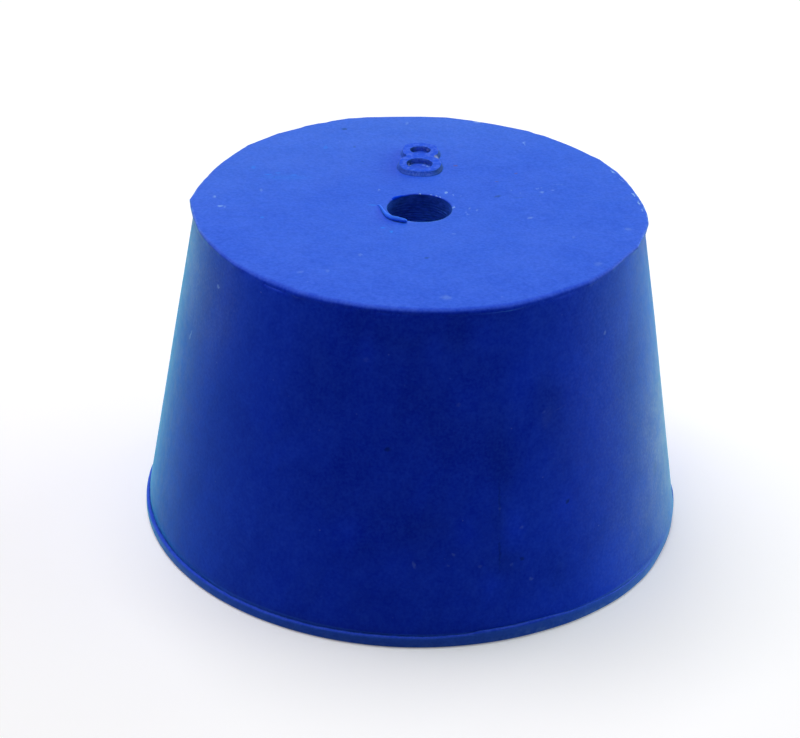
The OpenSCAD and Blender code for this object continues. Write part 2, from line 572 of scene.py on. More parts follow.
# Torn rubber at the bore's mouth. Stations along each curl: x, y, height of its middle above the face, radius
tornCurls = {
    "burr": [(-3.1, 0.22, 0.0, 0.04), (-2.92, 0.1, 0.02, 0.07), (-2.74, -0.48, 0.05, 0.09),
             (-2.52, -1.2, 0.08, 0.12), (-2.3, -1.74, 0.12, 0.15), (-1.95, -2.14, 0.14, 0.17),
             (-1.5, -2.36, 0.15, 0.18), (-1.15, -2.5, 0.14, 0.16), (-1.0, -2.55, 0.14, 0.13)],
    "lip": [(-0.7, 2.34, -0.1, 0.03), (-1.3, 2.07, -0.07, 0.07), (-1.62, 1.83, -0.06, 0.1),
            (-1.9, 1.57, -0.05, 0.11), (-2.16, 1.26, -0.1, 0.05)],
    "sides": 12,
    "pointsPerSpan": 5,
    "capTurns": (30, 55, 75),  # degrees round each rounded end
    "roughness": 0.12,
    "roughSize": 0.35,
    "roughTurn": 0.3,          # how far through that roughness one side lies from the next
}


def makeCurl(name):
    t = tornCurls
    stations = t[name]
    spine = []
    padded = [stations[0]] + stations + [stations[-1]]
    for i in range(1, len(padded) - 2):
        spine += smoothSpan(*(Vector(padded[i + k - 1]) for k in range(4)), t["pointsPerSpan"])
    spine.append(Vector(stations[-1]))
    # round both ends off
    for end, inner in ((0, 1), (-1, -2)):
        tip = spine[end].copy()
        outwards = spine[end] - spine[inner]
        outwards.w = 0
        outwards.normalize()
        cap = []
        for turn in t["capTurns"]:
            ring = tip + outwards * tip.w * sin(radians(turn))
            ring.w = tip.w * cos(radians(turn))
            cap.append(ring)
        spine = cap[::-1] + spine if end == 0 else spine + cap
    points = []
    rings = []
    for k, here in enumerate(spine):
        ahead = spine[min(k + 1, len(spine) - 1)]
        behind = spine[max(k - 1, 0)]
        along = Vector((ahead.x - behind.x, ahead.y - behind.y, 0)).normalized()
        across = Vector((along.y, -along.x, 0))
        ring = []
        for s in range(t["sides"]):
            a = tau * s / t["sides"]
            turned = s * t["roughTurn"]
            rough = 1 + t["roughness"] * wobble(here.x, here.y, turned, t["roughSize"], seed=6)
            p = here.xyz + here.w * rough * (across * cos(a) + Vector((0, 0, 1)) * sin(a))
            ring.append(len(points))
            points.append((p.x, p.y, p.z + faceHeight(hypot(here.x, here.y))))
        rings.append(ring)
    faces = [tuple(rings[0]), tuple(rings[-1])]
    for first, second in zip(rings, rings[1:]):
        joinRings(faces, first, second)
    return makeMesh(name, points, faces)


# What the finishes' nodes share
def addNode(tree, kind, **settings):
    node = tree.nodes.new(kind)
    for name, value in settings.items():
        if name in node.inputs:
            node.inputs[name].default_value = value
        else:
            setattr(node, name, value)
    return node


# Links a socket to the output that feeds it, or sets it where a plain value is given
def feed(tree, socket, source):
    if isinstance(source, bpy.types.NodeSocket):
        tree.links.new(source, socket)
    else:
        socket.default_value = source[:3] if socket.type == "VECTOR" else source


def mathNode(tree, operation, *values):
    node = addNode(tree, "ShaderNodeMath", operation=operation)
    for socket, value in zip(node.inputs, values):
        feed(tree, socket, value)
    return node.outputs[0]


def vectorNode(tree, operation, *values):
    node = addNode(tree, "ShaderNodeVectorMath", operation=operation)
    for socket, value in zip(node.inputs, values):
        feed(tree, socket, value)
    return node.outputs


def separate(tree, vector):
    node = addNode(tree, "ShaderNodeSeparateXYZ")
    tree.links.new(vector, node.inputs[0])
    return node.outputs


def mapRange(tree, value, fromLow, fromHigh, toLow=0.0, toHigh=1.0):
    node = addNode(tree, "ShaderNodeMapRange", interpolation_type="SMOOTHSTEP")
    tree.links.new(value, node.inputs["Value"])
    node.inputs["From Min"].default_value = fromLow
    node.inputs["From Max"].default_value = fromHigh
    node.inputs["To Min"].default_value = toLow
    node.inputs["To Max"].default_value = toHigh
    return node.outputs[0]


def mixColours(tree, share, first, second):
    node = addNode(tree, "ShaderNodeMix", data_type="RGBA")
    for socket, value in ((node.inputs[0], share), (node.inputs[6], first), (node.inputs[7], second)):
        feed(tree, socket, value)
    return node.outputs[2]


def noiseNode(tree, place, size, detail, distortion=0.0):
    node = addNode(tree, "ShaderNodeTexNoise", Scale=1 / size, Detail=detail, Distortion=distortion)
    tree.links.new(place, node.inputs["Vector"])
    return node.outputs


# Patches of noise: the limits are the values of the noise at which a patch starts and is whole
def patchy(tree, place, size, limits, least=0.0, most=1.0, detail=3):
    return mapRange(tree, noiseNode(tree, place, size, detail)["Fac"], *limits, least, most)


# An amount that the points of the moulding carry
def carried(tree, name):
    return addNode(tree, "ShaderNodeAttribute", attribute_name=name).outputs["Fac"]


# Which way the skin looks: the X, Y and Z of its normal
def facingNode(tree):
    return separate(tree, addNode(tree, "ShaderNodeTexCoord").outputs["Normal"])


# A colour with an amount of another added to it
def shade(tree, amount, tone, colour):
    return vectorNode(tree, "MULTIPLY_ADD", amount, tone, colour)["Vector"]


wholeNoise = (0.3, 0.7)                    # nearly all of a noise's values lie between these

# The skin of the whole stopper, in millimetres. A pair called limits holds the values at which something
# starts and at which it is whole
rubber = {
    "wallBlue": (0.0055, 0.031, 0.648, 1),
    "faceBlueAndSheen": (0.032, 0.088, 0.765, 1),  # the bloomed small end, the ledge and whatever else looks up; lighter partly from bloom, partly as painted sheen
    "landBlue": (0.028, 0.1, 0.7, 1),      # the land's wall, paler and greener than the taper above it
    "upLimits": (0.35, 0.8),               # how far up the skin looks where the up-facing colour, partly painted sheen, takes over
    "landLimits": (1.1, 0.9),              # height where landBlue takes over
    "ior": 1.16,
    "normalTint": (0.1, 0.5, 1.0, 1),      # colour of the gloss where it is seen straight on
    "roughness": (0.35, 0.46),             # from the smoothest patches to the dullest
    "bloom": 0.52,
    "bloomRoughness": 0.4,
    "bloomTint": (0.08, 1.0, 1.0, 1),
    "patchSize": 3.2,                      # slow patches of colour
    "patchDepth": 0.025,
    "cloudSize": 0.7,
    "cloudDepth": 0.03,
    "grainSize": 0.22,
    "grainDepth": 0.05,
    "unevenLimits": (0.25, 0.75),
    "wallTone": (0.05, 0.17, 0.6, 1),      # what these uneven patches gain and lose
    "faceTone": (0.2, 0.33, 0.72, 1),
    "patchTone": (0.001, 0.007, 0.13),     # what the broad patches of the moulding gain and lose
    "wispTone": (0.006, 0.045, 0.6),       # thin and thick wisps of bloom down the wall
    "wispSize": 3.0,
    "wispLength": 2.2,                     # how much longer than wide
    "wispLean": 20,
    "wispDepth": 0.07,
    "wispTwist": 0.4,
    "powder": (0.25, 0.48, 0.9, 1),        # what blooms out of the rubber and lies in its grain
    "powderSize": 0.2,
    "powderLimits": (0.35, 0.8),
    "powderMost": (0.015, 0.04),           # on the wall, and on what looks up
    "dust": (0.48, 0.62, 0.74, 1),         # what the flanks have picked up; at their far edges it is painted sheen, low on the right painted light
    "dustSize": 1.8,
    "dustSpread": (0.75, 1.25),            # where it was wiped thin, and where it wasn't
    "backLeftLight": 0.05,                          # painted light: how much paler, in the powder's colour, the small end grows towards its back left
    "backLeftTowards": (-0.5, 0.85, 0.0),
    "backLeftLimits": (2.0, 13.0),             # how far out that way
    # pale of wear, and a painted highlight, along the rim's edge and the land's lower edge
    "wornEdgeAndHighlight": (0.2, 0.4, 0.92, 1),
    "wornSize": 0.625,
    "wornLimits": (0.4, 0.62),
    # dark blue of dirt and painted shade in creases; painted shade alone on the figure's left walls and the
    # bore's left side
    "dirtAndShadeBlue": (0.007, 0.035, 0.28, 1),
    "creaseReach": 0.5,                    # how far out of a crease its dirt and painted shade show
    "creaseLimits": (0.85, 0.5),           # how open the skin is there
    "creaseSamples": 8,
    "creasePatch": 0.4,
    "creasePatchLimits": (0.3, 0.6),
    "grainHeight": 0.006,                  # bump of the matt skin
    "rippleHeight": 0.02,
    "rippleSize": 2.1,
    "markStray": 0.3,                      # how far the edges of marks wander
    "markStraySize": 0.25,
    # specks too many to place one by one: colour, spacing, radius, share of the places taken, strength
    "specks": [((0.40, 0.58, 0.95, 1), 1.1, 0.08, 0.4, 0.14),
               ((0.002, 0.012, 0.20, 1), 1.7, 0.08, 0.25, 0.3)],
    # the finer ones that lie over the far side of the small end, and where that side starts
    "farSpecks": [((0.40, 0.58, 0.95, 1), 0.7, 0.07, 0.5, 0.13),
                  ((0.002, 0.012, 0.20, 1), 0.8, 0.07, 0.4, 0.4)],
    "farLimits": (-3.0, 4.0),
}

# What handling has left on the rubber. A mark on the small end is given as x, y; one on the wall as
# "wall", azimuth from the front, height; then its radius, how many times longer than wide, turn, strength
marks = {
    "scuffsAndGlints": ((0.38, 0.62, 0.98, 1), [
        (-1.1, 15.0, 0.13, 2.5, 80, 0.18), (4.5, 15.65, 0.2, 1.8, 0, 0.5), (8.1, 11.75, 0.06, 8, 85, 0.3),
        # the five along the right back of the rim's edge are partly wear and partly painted highlight
        (14.65, 6.9, 0.09, 4, -62, 0.7), (15.2, 5.45, 0.06, 7, -66, 0.5), (15.92, 2.9, 0.08, 5, -72, 0.7),
        (16.2, 1.5, 0.07, 6, -80, 0.7), (16.35, 0.3, 0.08, 4, -88, 0.5), (3.65, 0.1, 0.1, 1.8, 90, 0.2),
        (4.2, -0.2, 0.08, 2.4, 70, 0.2), (3.4, -0.55, 0.09, 2, 90, 0.15), (2.5, 2.3, 0.08, 1.8, 90, 0.4),
        (3.05, 2.2, 0.06, 2, 0, 0.3), (8.75, 3.6, 0.09, 1.8, 90, 0.2), (10.4, 4.4, 0.07, 6, 5, 0.15),
        (11.1, -4.55, 0.14, 1.8, 90, 0.12), (-3.05, 2.8, 0.1, 2.2, 70, 0.3),
        (-14.2, -1.2, 0.12, 1.8, 90, 0.2), (-8.2, -11.3, 0.2, 1.6, 20, 0.12),
        (-6.3, -11.0, 0.18, 1.6, 90, 0.12), (-4.1, -8.25, 0.16, 1.8, 90, 0.15),
        (9.1, 3.0, 0.17, 1.2, 0, 0.3), (9.9, 3.4, 0.12, 1.6, 20, 0.25), (8.9, 3.75, 0.06, 6, 60, 0.25),
        (1.95, 2.75, 0.12, 1.9, 80, 0.5), (8.1, -1.4, 0.17, 1.7, 40, 0.25),
        (-11.75, 1.9, 0.1, 3.5, 100, 0.2), (-15.1, 0.5, 0.14, 1.7, 100, 0.4),
        (-14.55, -1.05, 0.15, 1.7, 20, 0.45), (2.5, -4.3, 0.15, 1.3, 0, 0.15),
        (1.9, -14.5, 0.36, 1.2, 0, 0.15), (12.6, -8.75, 0.3, 1.4, 60, 0.1),
        # those at the bore's far edge, from (0.0, 2.34) on, are pale grains and painted glints
        (15.1, -3.0, 0.25, 1.2, 0, 0.15), (0.0, 2.34, 0.1, 1.7, 90, 1.0), (0.85, 2.33, 0.07, 1.6, -20, 0.6),
        (1.25, 2.15, 0.08, 1.6, -30, 0.7), (1.5, 1.98, 0.07, 1.5, -40, 0.7),
        # those in the figure's lower eye, from (-0.85, 7.2) on, are pale grains and painted glints
        (2.5, 0.25, 0.09, 3.0, 80, 0.5), (-0.85, 7.2, 0.11, 1.4, 20, 0.8),
        (0.25, 7.35, 0.09, 1.5, -20, 0.4), (0.56, 7.19, 0.1, 1.5, -30, 0.5),
        (0.7, 7.0, 0.09, 1.6, -50, 0.5), (8.0, 11.85, 0.11, 1.8, 90, 0.4), (6.8, 3.3, 0.08, 1.8, 90, 0.2),
        (3.55, -0.9, 0.08, 1.8, 90, 0.2), (7.5, 2.8, 0.08, 1.8, 90, 0.2), (9.1, 3.8, 0.08, 1.8, 90, 0.2),
        ("wall", -56.7, 22.6, 0.15, 1.2, 0, 0.35), ("wall", -67.5, 17.3, 0.1, 5, 70, 0.3),
        ("wall", -11.6, 21.2, 0.18, 1.5, 20, 0.03), ("wall", 9.8, 18.2, 0.14, 1.4, 50, 0.04),
        ("wall", 9, 7.1, 0.13, 1.4, 0, 0.09), ("wall", 0.8, 6.4, 0.14, 2.2, 100, 0.1),
        ("wall", 19, 10.2, 0.13, 1.2, 0, 0.07), ("wall", 26, 4.4, 0.14, 1.3, 0, 0.09),
        ("wall", 24, 8.5, 0.13, 1.6, 30, 0.09), ("wall", 50.5, 20.7, 0.15, 1.3, 0, 0.2),
        ("wall", 34, 16.6, 0.07, 12, 14, 0.03), ("wall", 31, 16.2, 0.4, 2.2, 70, 0.02),
        ("wall", 14.6, 6.0, 0.12, 1.3, 0, 0.06), ("wall", 7.9, 6.3, 0.12, 1.3, 0, 0.06),
        ("wall", 21.6, 5.8, 0.12, 1.3, 0, 0.06), ("wall", 30.4, 16.7, 0.12, 1.3, 0, 0.06)]),
    "dirt": ((0.002, 0.012, 0.20, 1), [
        (-6.0, 13.55, 0.2, 1.4, 0, 0.7), (-5.1, 10.25, 0.12, 1.2, 0, 0.4), (-4.4, 7.7, 0.1, 1.3, 0, 0.4),
        (5.8, 2.2, 0.17, 1.9, 30, 0.55), (7.4, 2.0, 0.1, 5, 5, 0.2), (0.6, -8.4, 0.1, 2.4, 30, 0.55),
        ("wall", -5.8, 14.9, 0.2, 1.2, 0, 0.6), ("wall", 35.6, 9.5, 0.16, 1.4, 60, 0.8),
        ("wall", 24, 6.1, 0.16, 1.2, 0, 0.6), ("wall", 69, 7.2, 0.5, 1.4, 70, 0.15),
        ("wall", 19.0, 10.9, 0.09, 17, 90, 0.3), ("wall", 18.9, 6.9, 0.09, 16, 90, 0.35)]),
    "rust": ((0.16, 0.03, 0.12, 1), [
        (2.7, 7.4, 0.13, 1.3, 0, 0.6), (7.25, 6.25, 0.13, 1.2, 0, 0.4), (5.8, 4.75, 0.12, 1.3, 0, 0.4)]),
    "rubbed": ((0.01, 0.28, 1.0, 1), [
        (-11.4, -2.7, 0.14, 1.4, 0, 0.4), (-10.7, 5.0, 0.15, 1.4, 0, 0.3), (-9.5, 4.75, 0.15, 2.0, 0, 0.3),
        (-2.0, -4.1, 0.14, 1.2, 0, 0.35), (-2.6, -3.6, 0.15, 1.5, 0, 0.4), (-3.45, 0.22, 0.1, 4.0, 0, 0.5),
        (-2.0, -4.25, 0.13, 1.6, 90, 0.6), (-12.6, 5.9, 0.2, 1.6, 90, 0.3),
        (-11.4, 4.7, 0.12, 3.0, 5, 0.35), (-7.3, 10.0, 0.2, 2.0, 90, 0.25), (-10.0, 4.3, 0.5, 4.0, 5, 0.12)]),
}

# How marks and specks are drawn
spots = {
    "reach": 1.25,                         # how far past its radius a mark's soft edge runs
    "solid": 0.72,                         # share of the way in from there to its whole strength
    "speckCore": 0.4,                      # share of a speck's radius that has its whole strength
    "speckPlaces": (1, 0.55, 1),           # draws specks out from front to back, and spaces them so
}


# A soft-edged spot about one mark, drawn out and turned to the shape it has
def spotMask(tree, place, mark):
    surface = Matrix.Identity(3)
    if mark[0] == "wall":
        fromFront, z, radius, stretch, turn, strength = mark[1:]
        a = radians(fromFront)
        middle = (taperRadius(z) * sin(a), -taperRadius(z) * cos(a), z)
        across = Vector((cos(a), sin(a), 0))
        up = Vector((-drawIn * sin(a), drawIn * cos(a), 1)).normalized()
        surface = Matrix((across, up, across.cross(up))).transposed()
    elif mark[0] == "figure":
        x, y, up, radius, stretch, turn, strength = mark[1:]
        middle = (x, y, faceHeight(hypot(x, y)) + up)
    else:
        x, y, radius, stretch, turn, strength = mark
        middle = (x, y, faceHeight(hypot(x, y)))
    fit = addNode(tree, "ShaderNodeMapping", vector_type="TEXTURE")
    fit.inputs["Location"].default_value = middle
    fit.inputs["Rotation"].default_value = (surface @ Matrix.Rotation(radians(turn), 3, "Z")).to_euler()
    fit.inputs["Scale"].default_value = Vector((radius * stretch, radius, radius)) * spots["reach"]
    tree.links.new(place, fit.inputs["Vector"])
    ball = addNode(tree, "ShaderNodeTexGradient", gradient_type="SPHERICAL")
    tree.links.new(fit.outputs[0], ball.inputs["Vector"])
    return mapRange(tree, ball.outputs["Fac"], 0.0, spots["solid"], 0.0, strength)


# The colour with a group of marks on it; where marks overlap, the stronger one shows
def addMarks(tree, place, colour, group):
    tone, places = group
    mask = None
    for mark in places:
        here = spotMask(tree, place, mark)
        mask = here if mask is None else mathNode(tree, "MAXIMUM", mask, here)
    return mixColours(tree, mask, colour, tone)


# Small specks, one in some of the cells of a grid of random cells
def speckMask(tree, place, spacing, size, share, strength):
    drawn = vectorNode(tree, "MULTIPLY", place, spots["speckPlaces"])["Vector"]
    cells = addNode(tree, "ShaderNodeTexVoronoi", Scale=1 / spacing, Randomness=1.0)
    tree.links.new(drawn, cells.inputs["Vector"])
    spot = mapRange(tree, cells.outputs["Distance"], size / spacing, spots["speckCore"] * size / spacing)
    chosen = addNode(tree, "ShaderNodeSeparateColor")
    tree.links.new(cells.outputs["Color"], chosen.inputs[0])
    kept = mathNode(tree, "LESS_THAN", chosen.outputs[0], share)
    faint = mathNode(tree, "MULTIPLY", chosen.outputs[1], strength)
    return mathNode(tree, "MULTIPLY", mathNode(tree, "MULTIPLY", spot, kept), faint)


# A new material with the rubber's own gloss, and the place on it in millimetres
def newMaterial(name):
    material = bpy.data.materials.new(name)
    material.use_nodes = True
    tree = material.node_tree
    tree.nodes.clear()
    shader = addNode(tree, "ShaderNodeBsdfPrincipled")
    output = addNode(tree, "ShaderNodeOutputMaterial")
    tree.links.new(shader.outputs[0], output.inputs["Surface"])
    shader.inputs["IOR"].default_value = rubber["ior"]
    shader.inputs["Specular Tint"].default_value = rubber["normalTint"]
    shader.inputs["Sheen Roughness"].default_value = rubber["bloomRoughness"]
    shader.inputs["Sheen Tint"].default_value = rubber["bloomTint"]
    place = addNode(tree, "ShaderNodeVectorMath", operation="SCALE", Scale=1 / millimetre)
    tree.links.new(addNode(tree, "ShaderNodeTexCoord").outputs["Object"], place.inputs[0])
    return material, tree, shader, place.outputs[0]


# Wisps of thicker and thinner bloom, drawn out down the wall and leaning a little
def wisps(tree, place):
    r = rubber
    drawn = addNode(tree, "ShaderNodeMapping", vector_type="TEXTURE")
    drawn.inputs["Rotation"].default_value = (0, radians(r["wispLean"]), 0)
    drawn.inputs["Scale"].default_value = (1, 1, r["wispLength"])
    tree.links.new(place, drawn.inputs["Vector"])
    smear = noiseNode(tree, drawn.outputs[0], r["wispSize"], detail=4, distortion=r["wispTwist"])["Fac"]
    return mapRange(tree, smear, *wholeNoise, -r["wispDepth"], r["wispDepth"])


# Adds the skin's own unevenness to a colour: slow patches, clouds and grain; and gives it a matt bump
def rubberSkin(tree, shader, place, colour, tone=rubber["wallTone"]):
    r = rubber
    total = None
    for size, depth, detail in ((r["patchSize"], r["patchDepth"], 2), (r["cloudSize"], r["cloudDepth"], 3),
                                (r["grainSize"], r["grainDepth"], 2)):
        layer = patchy(tree, place, size, r["unevenLimits"], -depth, depth, detail)
        total = layer if total is None else mathNode(tree, "ADD", total, layer)
    dull = patchy(tree, place, r["cloudSize"], wholeNoise, *r["roughness"], detail=4)
    tree.links.new(dull, shader.inputs["Roughness"])
    grain = noiseNode(tree, place, r["grainSize"], detail=3)["Fac"]
    ripple = noiseNode(tree, place, r["rippleSize"], detail=1)["Fac"]
    grain = mathNode(tree, "MULTIPLY", grain, r["grainHeight"])
    ripple = mathNode(tree, "MULTIPLY", ripple, r["rippleHeight"])
    bump = addNode(tree, "ShaderNodeBump", Distance=millimetre)
    tree.links.new(mathNode(tree, "ADD", grain, ripple), bump.inputs["Height"])
    tree.links.new(bump.outputs[0], shader.inputs["Normal"])
    return shade(tree, total, tone, colour)


# Powder in the grain, dust on the flanks with painted sheen at their edges, and painted light that makes the
# small end paler towards its back left
def addPowder(tree, place, colour, facesUp, looksUp):
    r = rubber
    grains = patchy(tree, place, r["powderSize"], r["powderLimits"])
    most = mapRange(tree, facesUp, *r["upLimits"], *r["powderMost"])
    colour = mixColours(tree, mathNode(tree, "MULTIPLY", grains, most), colour, r["powder"])
    # dust, and painted sheen at the flanks' far edges
    settled = mathNode(tree, "MULTIPLY", mathNode(tree, "ADD", grains, 1.0), carried(tree, "dustAndSheen"))
    wiped = patchy(tree, place, r["dustSize"], wholeNoise, *r["dustSpread"], detail=4)
    colour = mixColours(tree, mathNode(tree, "MULTIPLY", settled, wiped), colour, r["dust"])
    # painted light: paler towards the back left of the small end
    along = vectorNode(tree, "DOT_PRODUCT", place, r["backLeftTowards"])["Value"]
    litBackLeft = mapRange(tree, along, *r["backLeftLimits"], 0.0, r["backLeftLight"])
    return mixColours(tree, mathNode(tree, "MULTIPLY", litBackLeft, looksUp), colour, r["powder"])


# The same place, moved about a little, so that the edges of marks wander
def strayPlace(tree, place):
    stray = Vector((1, 1, 1)) * rubber["markStray"]
    drift = noiseNode(tree, place, rubber["markStraySize"], detail=2)["Color"]
    shifted = vectorNode(tree, "MULTIPLY_ADD", drift, stray, place)["Vector"]
    return vectorNode(tree, "SUBTRACT", shifted, stray / 2)["Vector"]


# Dirt and painted shade wherever two walls meet, darker where the skin is less open, in patches
def dirtAndShadeInCreases(tree, place, colour, most=1.0):
    r = rubber
    openness = addNode(tree, "ShaderNodeAmbientOcclusion", samples=r["creaseSamples"], only_local=True)
    openness.inputs["Distance"].default_value = r["creaseReach"] * millimetre
    settled = mapRange(tree, openness.outputs["AO"], *r["creaseLimits"])
    patches = patchy(tree, place, r["creasePatch"], r["creasePatchLimits"], most / 2, most)
    return mixColours(tree, mathNode(tree, "MULTIPLY", settled, patches), colour, r["dirtAndShadeBlue"])


def makeRubber():
    r = rubber
    material, tree, shader, place = newMaterial("bloomed_blue_rubber")
    shader.inputs["Sheen Weight"].default_value = r["bloom"]
    facesUp = facingNode(tree)["Z"]
    looksUp = mapRange(tree, facesUp, *r["upLimits"])
    where = separate(tree, place)
    onLand = mapRange(tree, where["Z"], *r["landLimits"])
    # broad patches of bloom, and painted light low on the right
    wall = shade(tree, carried(tree, "bloomAndLight"), r["patchTone"], r["wallBlue"])
    wall = shade(tree, wisps(tree, place), r["wispTone"], wall)
    colour = mixColours(tree, onLand, wall, r["landBlue"])
    # what looks up is lighter: bloom, and painted sheen
    colour = mixColours(tree, looksUp, colour, r["faceBlueAndSheen"])
    tone = mixColours(tree, looksUp, r["wallTone"], r["faceTone"])
    colour = rubberSkin(tree, shader, place, colour, tone)
    colour = addPowder(tree, place, colour, facesUp, looksUp)
    # pale wear and a painted highlight along the rim's edge and the land's lower edge
    broken = patchy(tree, place, r["wornSize"], r["wornLimits"])
    rubbed = mathNode(tree, "MULTIPLY", carried(tree, "wearAndHighlight"), broken)
    colour = mixColours(tree, rubbed, colour, r["wornEdgeAndHighlight"])
    strayed = strayPlace(tree, place)
    for group in marks.values():
        colour = addMarks(tree, strayed, colour, group)
    for tone, *speck in r["specks"]:
        colour = mixColours(tree, speckMask(tree, place, *speck), colour, tone)
    farSide = mathNode(tree, "MULTIPLY", mapRange(tree, where["Y"], *r["farLimits"]), looksUp)
    for tone, *speck in r["farSpecks"]:
        mask = mathNode(tree, "MULTIPLY", speckMask(tree, place, *speck), farSide)
        colour = mixColours(tree, mask, colour, tone)
    # dirt and painted shade in the creases
    tree.links.new(dirtAndShadeInCreases(tree, place, colour), shader.inputs["Base Color"])
    return material


# The raised figure: handled on top, dusty down its walls; dirt and painted shade in its creases, painted
# shade on its side walls
numberFinish = {
    "top": (0.018, 0.09, 0.76, 1),
    "topLimits": (0.75, 0.95),             # how far up the skin looks where the top takes over
    "flecks": (0.09, 0.2, 0.88, 1),
    "fleckSize": 0.28,
    "fleckLimits": (0.45, 0.65),
    "fleckMost": 0.5,
    "walls": (0.04, 0.14, 0.76, 1),
    "dust": (0.09, 0.22, 0.88, 1),
    "dustSize": 0.15,                      # size of the patches of dust on the walls
    "dustLimits": (0.3, 0.6),
    "dirt": (0.012, 0.055, 0.22, 1),       # painted shade on the walls that look right
    "sideLimits": (0.2, 0.8),              # how far to the side a wall looks where its painted shade takes over
    "rightShade": 0.9,
    "leftShade": 0.5,
    "creaseMost": 0.2,
    "bloom": 0.05,
    "gloss": 0.25,
    # white dust and painted glints caught on it, the first a glint on the waist's right wall: "figure", x, y,
    # height above the small end, and the rest as for other marks
    "marks": ((0.45, 0.55, 0.82, 1), [
        ("figure", 1.3, 8.38, 0.15, 0.26, 1.4, 0, 1.0), ("figure", 0.28, 9.95, 0.25, 0.09, 1.4, 40, 0.3),
        ("figure", 0.55, 9.73, 0.16, 0.11, 1.5, -30, 0.35),
        ("figure", -0.87, 7.3, 0.05, 0.12, 1.4, 20, 0.6), ("figure", -0.62, 7.5, 0.05, 0.09, 1.5, 20, 0.25),
        ("figure", 0.3, 7.6, 0.03, 0.1, 1.5, -20, 0.35), ("figure", 0.62, 7.35, 0.05, 0.1, 1.5, -30, 0.35),
        ("figure", -0.92, 6.04, 0.36, 0.1, 1.8, 90, 0.12), ("figure", -0.3, 5.45, 0.12, 0.14, 3.0, 0, 0.06),
        ("figure", 0.6, 5.5, 0.12, 0.13, 2.5, 0, 0.06)]),
}


def makeNumberRubber():
    n = numberFinish
    material, tree, shader, place = newMaterial("raised_number_rubber")
    shader.inputs["Sheen Weight"].default_value = n["bloom"]
    shader.inputs["Specular IOR Level"].default_value = n["gloss"]
    facing = facingNode(tree)
    starts, whole = n["sideLimits"]
    looksUp = mapRange(tree, facing["Z"], *n["topLimits"])
    # painted shade on the walls that look right and left
    shadedRight = mapRange(tree, facing["X"], starts, whole, 0.0, n["rightShade"])
    shadedLeft = mapRange(tree, facing["X"], -starts, -whole, 0.0, n["leftShade"])
    dusty = patchy(tree, place, n["dustSize"], n["dustLimits"], detail=2)
    walls = mixColours(tree, dusty, n["walls"], n["dust"])
    walls = mixColours(tree, shadedRight, walls, n["dirt"])
    walls = mixColours(tree, shadedLeft, walls, rubber["dirtAndShadeBlue"])
    flecked = patchy(tree, place, n["fleckSize"], n["fleckLimits"], 0.0, n["fleckMost"])
    top = mixColours(tree, flecked, n["top"], n["flecks"])
    colour = mixColours(tree, looksUp, walls, top)
    colour = rubberSkin(tree, shader, place, colour)
    # dirt and painted shade in its creases
    colour = dirtAndShadeInCreases(tree, place, colour, n["creaseMost"])
    # white dust, and a painted glint on the waist's right wall
    tree.links.new(addMarks(tree, place, colour, n["marks"]), shader.inputs["Base Color"])
    return material


# The torn rubber: a burr of fresh rubber, not yet bloomed, and a lip so thin that light comes through it
tornFinish = {
    "burrBlue": (0.04, 0.175, 1.0, 1),
    "burrBloom": 0.2,
    "lipBlue": (0.001, 0.05, 0.8, 1),
    "lipGloss": 0.0,
}


def makeTornRubber():
    material, tree, shader, place = newMaterial("torn_blue_rubber")
    shader.inputs["Sheen Weight"].default_value = tornFinish["burrBloom"]
    colour = rubberSkin(tree, shader, place, tornFinish["burrBlue"])
    tree.links.new(colour, shader.inputs["Base Color"])
    return material


def makeThinRubber():
    material, tree, shader, place = newMaterial("thin_blue_rubber")
    shader.inputs["Specular IOR Level"].default_value = tornFinish["lipGloss"]
    colour = rubberSkin(tree, shader, place, tornFinish["lipBlue"])
    tree.links.new(colour, shader.inputs["Base Color"])
    return material


# Inside the bore, dusty and never wiped, with painted shade down its left side
boreFinish = {
    "blue": (0.028, 0.115, 0.66, 1),
    "dust": (0.06, 0.24, 0.82, 1),         # what lies thicker on its wall further down
    "dustDepth": 4,                        # how far down it is whole
    "streaks": (0.012, 0.03, 0.13),        # what the streaks drawn out round the wall gain and lose
    "streaksPerMillimetre": 2.4,
    "streakLength": 3,                     # how many times longer than high
    "shadeLimits": (0.2, -2.4),             # where, from right to left, painted shade darkens the wall
    "shadeMost": 0.5,
    "bloom": 0.03,
    "gloss": 0.2,
}


def makeBoreRubber():
    b = boreFinish
    material, tree, shader, place = newMaterial("bore_blue_rubber")
    shader.inputs["Sheen Weight"].default_value = b["bloom"]
    shader.inputs["Specular IOR Level"].default_value = b["gloss"]
    where = separate(tree, place)
    deep = mapRange(tree, where["Z"], mouthHeight, mouthHeight - b["dustDepth"])
    colour = mixColours(tree, deep, b["blue"], b["dust"])
    drawn = vectorNode(tree, "MULTIPLY", place, (1, 1, b["streakLength"]))["Vector"]
    streaks = patchy(tree, drawn, 1 / b["streaksPerMillimetre"], wholeNoise, -1.0, 1.0)
    colour = shade(tree, streaks, b["streaks"], colour)
    # painted shade, darker towards the bore's left
    boreShade = mapRange(tree, where["X"], *b["shadeLimits"], 0.0, b["shadeMost"])
    colour = mixColours(tree, boreShade, colour, rubber["dirtAndShadeBlue"])
    tree.links.new(rubberSkin(tree, shader, place, colour), shader.inputs["Base Color"])
    return material


